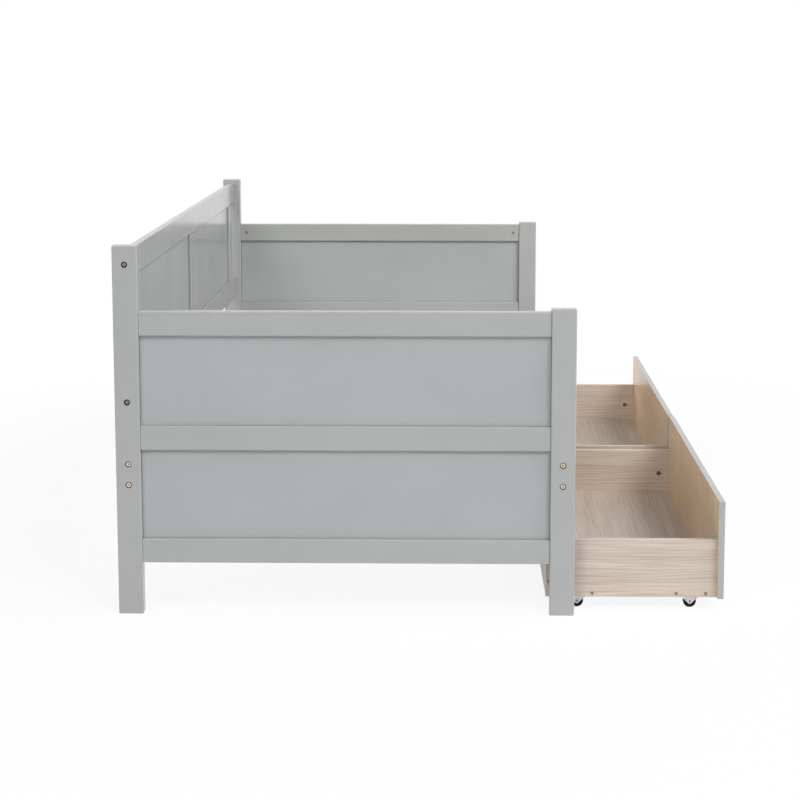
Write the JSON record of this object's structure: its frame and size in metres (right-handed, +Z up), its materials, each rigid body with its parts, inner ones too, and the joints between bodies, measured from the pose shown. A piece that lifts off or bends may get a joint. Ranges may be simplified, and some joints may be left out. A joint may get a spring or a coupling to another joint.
{
  "type": "storage daybed",
  "caption": "Painted frame-and-panel daybed with a slatted mattress deck and drawers on casters that roll out from under its front.",
  "frame": {"origin": "on the floor, under the middle of the bounding box with both drawers pulled out", "axes": "+X along the bed's length, towards the right end as seen from the front; -Y towards the front, the way the drawers open; +Z up"},
  "size_m": [2, 1.438, 0.881],
  "materials": {
    "grey_paint": "satin grey paint on solid wood",
    "grey_panel_paint": "satin grey paint on thin fibreboard",
    "pine": "bare planed pine",
    "drawer_front_board": "grey painted board with a golden wood-grain inner face",
    "pale_oak_board": "pale oak-grain foil on board",
    "white_bracket": "white coated sheet steel with a bare riveted axle",
    "black_wheel": "black moulded plastic"
  },
  "bodies": {
    "bed_frame": {"left_rear_post": "grey_paint", "left_front_post": "grey_paint", "left_bottom_rail": "grey_paint", "left_mid_rail": "grey_paint", "left_top_rail": "grey_paint", "left_lower_panel": "grey_panel_paint", "left_upper_panel": "grey_panel_paint", "right_rear_post": "grey_paint", "right_front_post": "grey_paint", "right_bottom_rail": "grey_paint", "right_mid_rail": "grey_paint", "right_top_rail": "grey_paint", "right_lower_panel": "grey_panel_paint", "right_upper_panel": "grey_panel_paint", "back_bottom_rail": "grey_paint", "back_top_rail": "grey_paint", "back_left_stile": "grey_paint", "back_mid_stile": "grey_paint", "back_right_stile": "grey_paint", "back_left_panel": "grey_panel_paint", "back_right_panel": "grey_panel_paint", "front_side_rail": "grey_paint", "rear_side_rail": "grey_paint", "slat_01": "pine", "slat_02": "pine", "slat_03": "pine", "slat_04": "pine", "slat_05": "pine", "slat_06": "pine", "slat_07": "pine", "slat_08": "pine", "slat_09": "pine", "slat_10": "pine", "slat_11": "pine"},
    "left_drawer": {"left_drawer_front": "drawer_front_board", "left_drawer_back": "pale_oak_board", "left_drawer_bottom": "pale_oak_board", "left_drawer_left_side": "pale_oak_board", "left_drawer_right_side": "pale_oak_board", "left_drawer_front_left_bracket": "white_bracket", "left_drawer_front_right_bracket": "white_bracket", "left_drawer_rear_left_bracket": "white_bracket", "left_drawer_rear_right_bracket": "white_bracket"},
    "right_drawer": {"right_drawer_front": "drawer_front_board", "right_drawer_back": "pale_oak_board", "right_drawer_bottom": "pale_oak_board", "right_drawer_left_side": "pale_oak_board", "right_drawer_right_side": "pale_oak_board", "right_drawer_front_left_bracket": "white_bracket", "right_drawer_front_right_bracket": "white_bracket", "right_drawer_rear_left_bracket": "white_bracket", "right_drawer_rear_right_bracket": "white_bracket"},
    "left_drawer_front_left_caster_wheel": {"left_drawer_front_left_wheel": "black_wheel"},
    "left_drawer_front_right_caster_wheel": {"left_drawer_front_right_wheel": "black_wheel"},
    "left_drawer_rear_left_caster_wheel": {"left_drawer_rear_left_wheel": "black_wheel"},
    "left_drawer_rear_right_caster_wheel": {"left_drawer_rear_right_wheel": "black_wheel"},
    "right_drawer_front_left_caster_wheel": {"right_drawer_front_left_wheel": "black_wheel"},
    "right_drawer_front_right_caster_wheel": {"right_drawer_front_right_wheel": "black_wheel"},
    "right_drawer_rear_left_caster_wheel": {"right_drawer_rear_left_wheel": "black_wheel"},
    "right_drawer_rear_right_caster_wheel": {"right_drawer_rear_right_wheel": "black_wheel"}
  },
  "joints": [
    {"name": "left_drawer_slide", "type": "slide", "parent": "bed_frame", "child": "left_drawer", "axis": [0, -1, 0], "range_m": [-0.358, 0.165]},
    {"name": "right_drawer_slide", "type": "slide", "parent": "bed_frame", "child": "right_drawer", "axis": [0, -1, 0], "range_m": [-0.3555, 0.1675]},
    {"name": "left_drawer_front_left_spin", "type": "hinge", "parent": "left_drawer", "child": "left_drawer_front_left_caster_wheel", "pos_m": [-0.924, -0.643, 0.0155], "axis": [1, 0, 0], "continuous": true},
    {"name": "left_drawer_front_right_spin", "type": "hinge", "parent": "left_drawer", "child": "left_drawer_front_right_caster_wheel", "pos_m": [-0.043, -0.643, 0.0155], "axis": [1, 0, 0], "continuous": true},
    {"name": "left_drawer_rear_left_spin", "type": "hinge", "parent": "left_drawer", "child": "left_drawer_rear_left_caster_wheel", "pos_m": [-0.924, -0.372, 0.0155], "axis": [1, 0, 0], "continuous": true},
    {"name": "left_drawer_rear_right_spin", "type": "hinge", "parent": "left_drawer", "child": "left_drawer_rear_right_caster_wheel", "pos_m": [-0.043, -0.372, 0.0155], "axis": [1, 0, 0], "continuous": true},
    {"name": "right_drawer_front_left_spin", "type": "hinge", "parent": "right_drawer", "child": "right_drawer_front_left_caster_wheel", "pos_m": [0.043, -0.6405, 0.0155], "axis": [1, 0, 0], "continuous": true},
    {"name": "right_drawer_front_right_spin", "type": "hinge", "parent": "right_drawer", "child": "right_drawer_front_right_caster_wheel", "pos_m": [0.924, -0.6405, 0.0155], "axis": [1, 0, 0], "continuous": true},
    {"name": "right_drawer_rear_left_spin", "type": "hinge", "parent": "right_drawer", "child": "right_drawer_rear_left_caster_wheel", "pos_m": [0.043, -0.3695, 0.0155], "axis": [1, 0, 0], "continuous": true},
    {"name": "right_drawer_rear_right_spin", "type": "hinge", "parent": "right_drawer", "child": "right_drawer_rear_right_caster_wheel", "pos_m": [0.924, -0.3695, 0.0155], "axis": [1, 0, 0], "continuous": true}
  ]
}
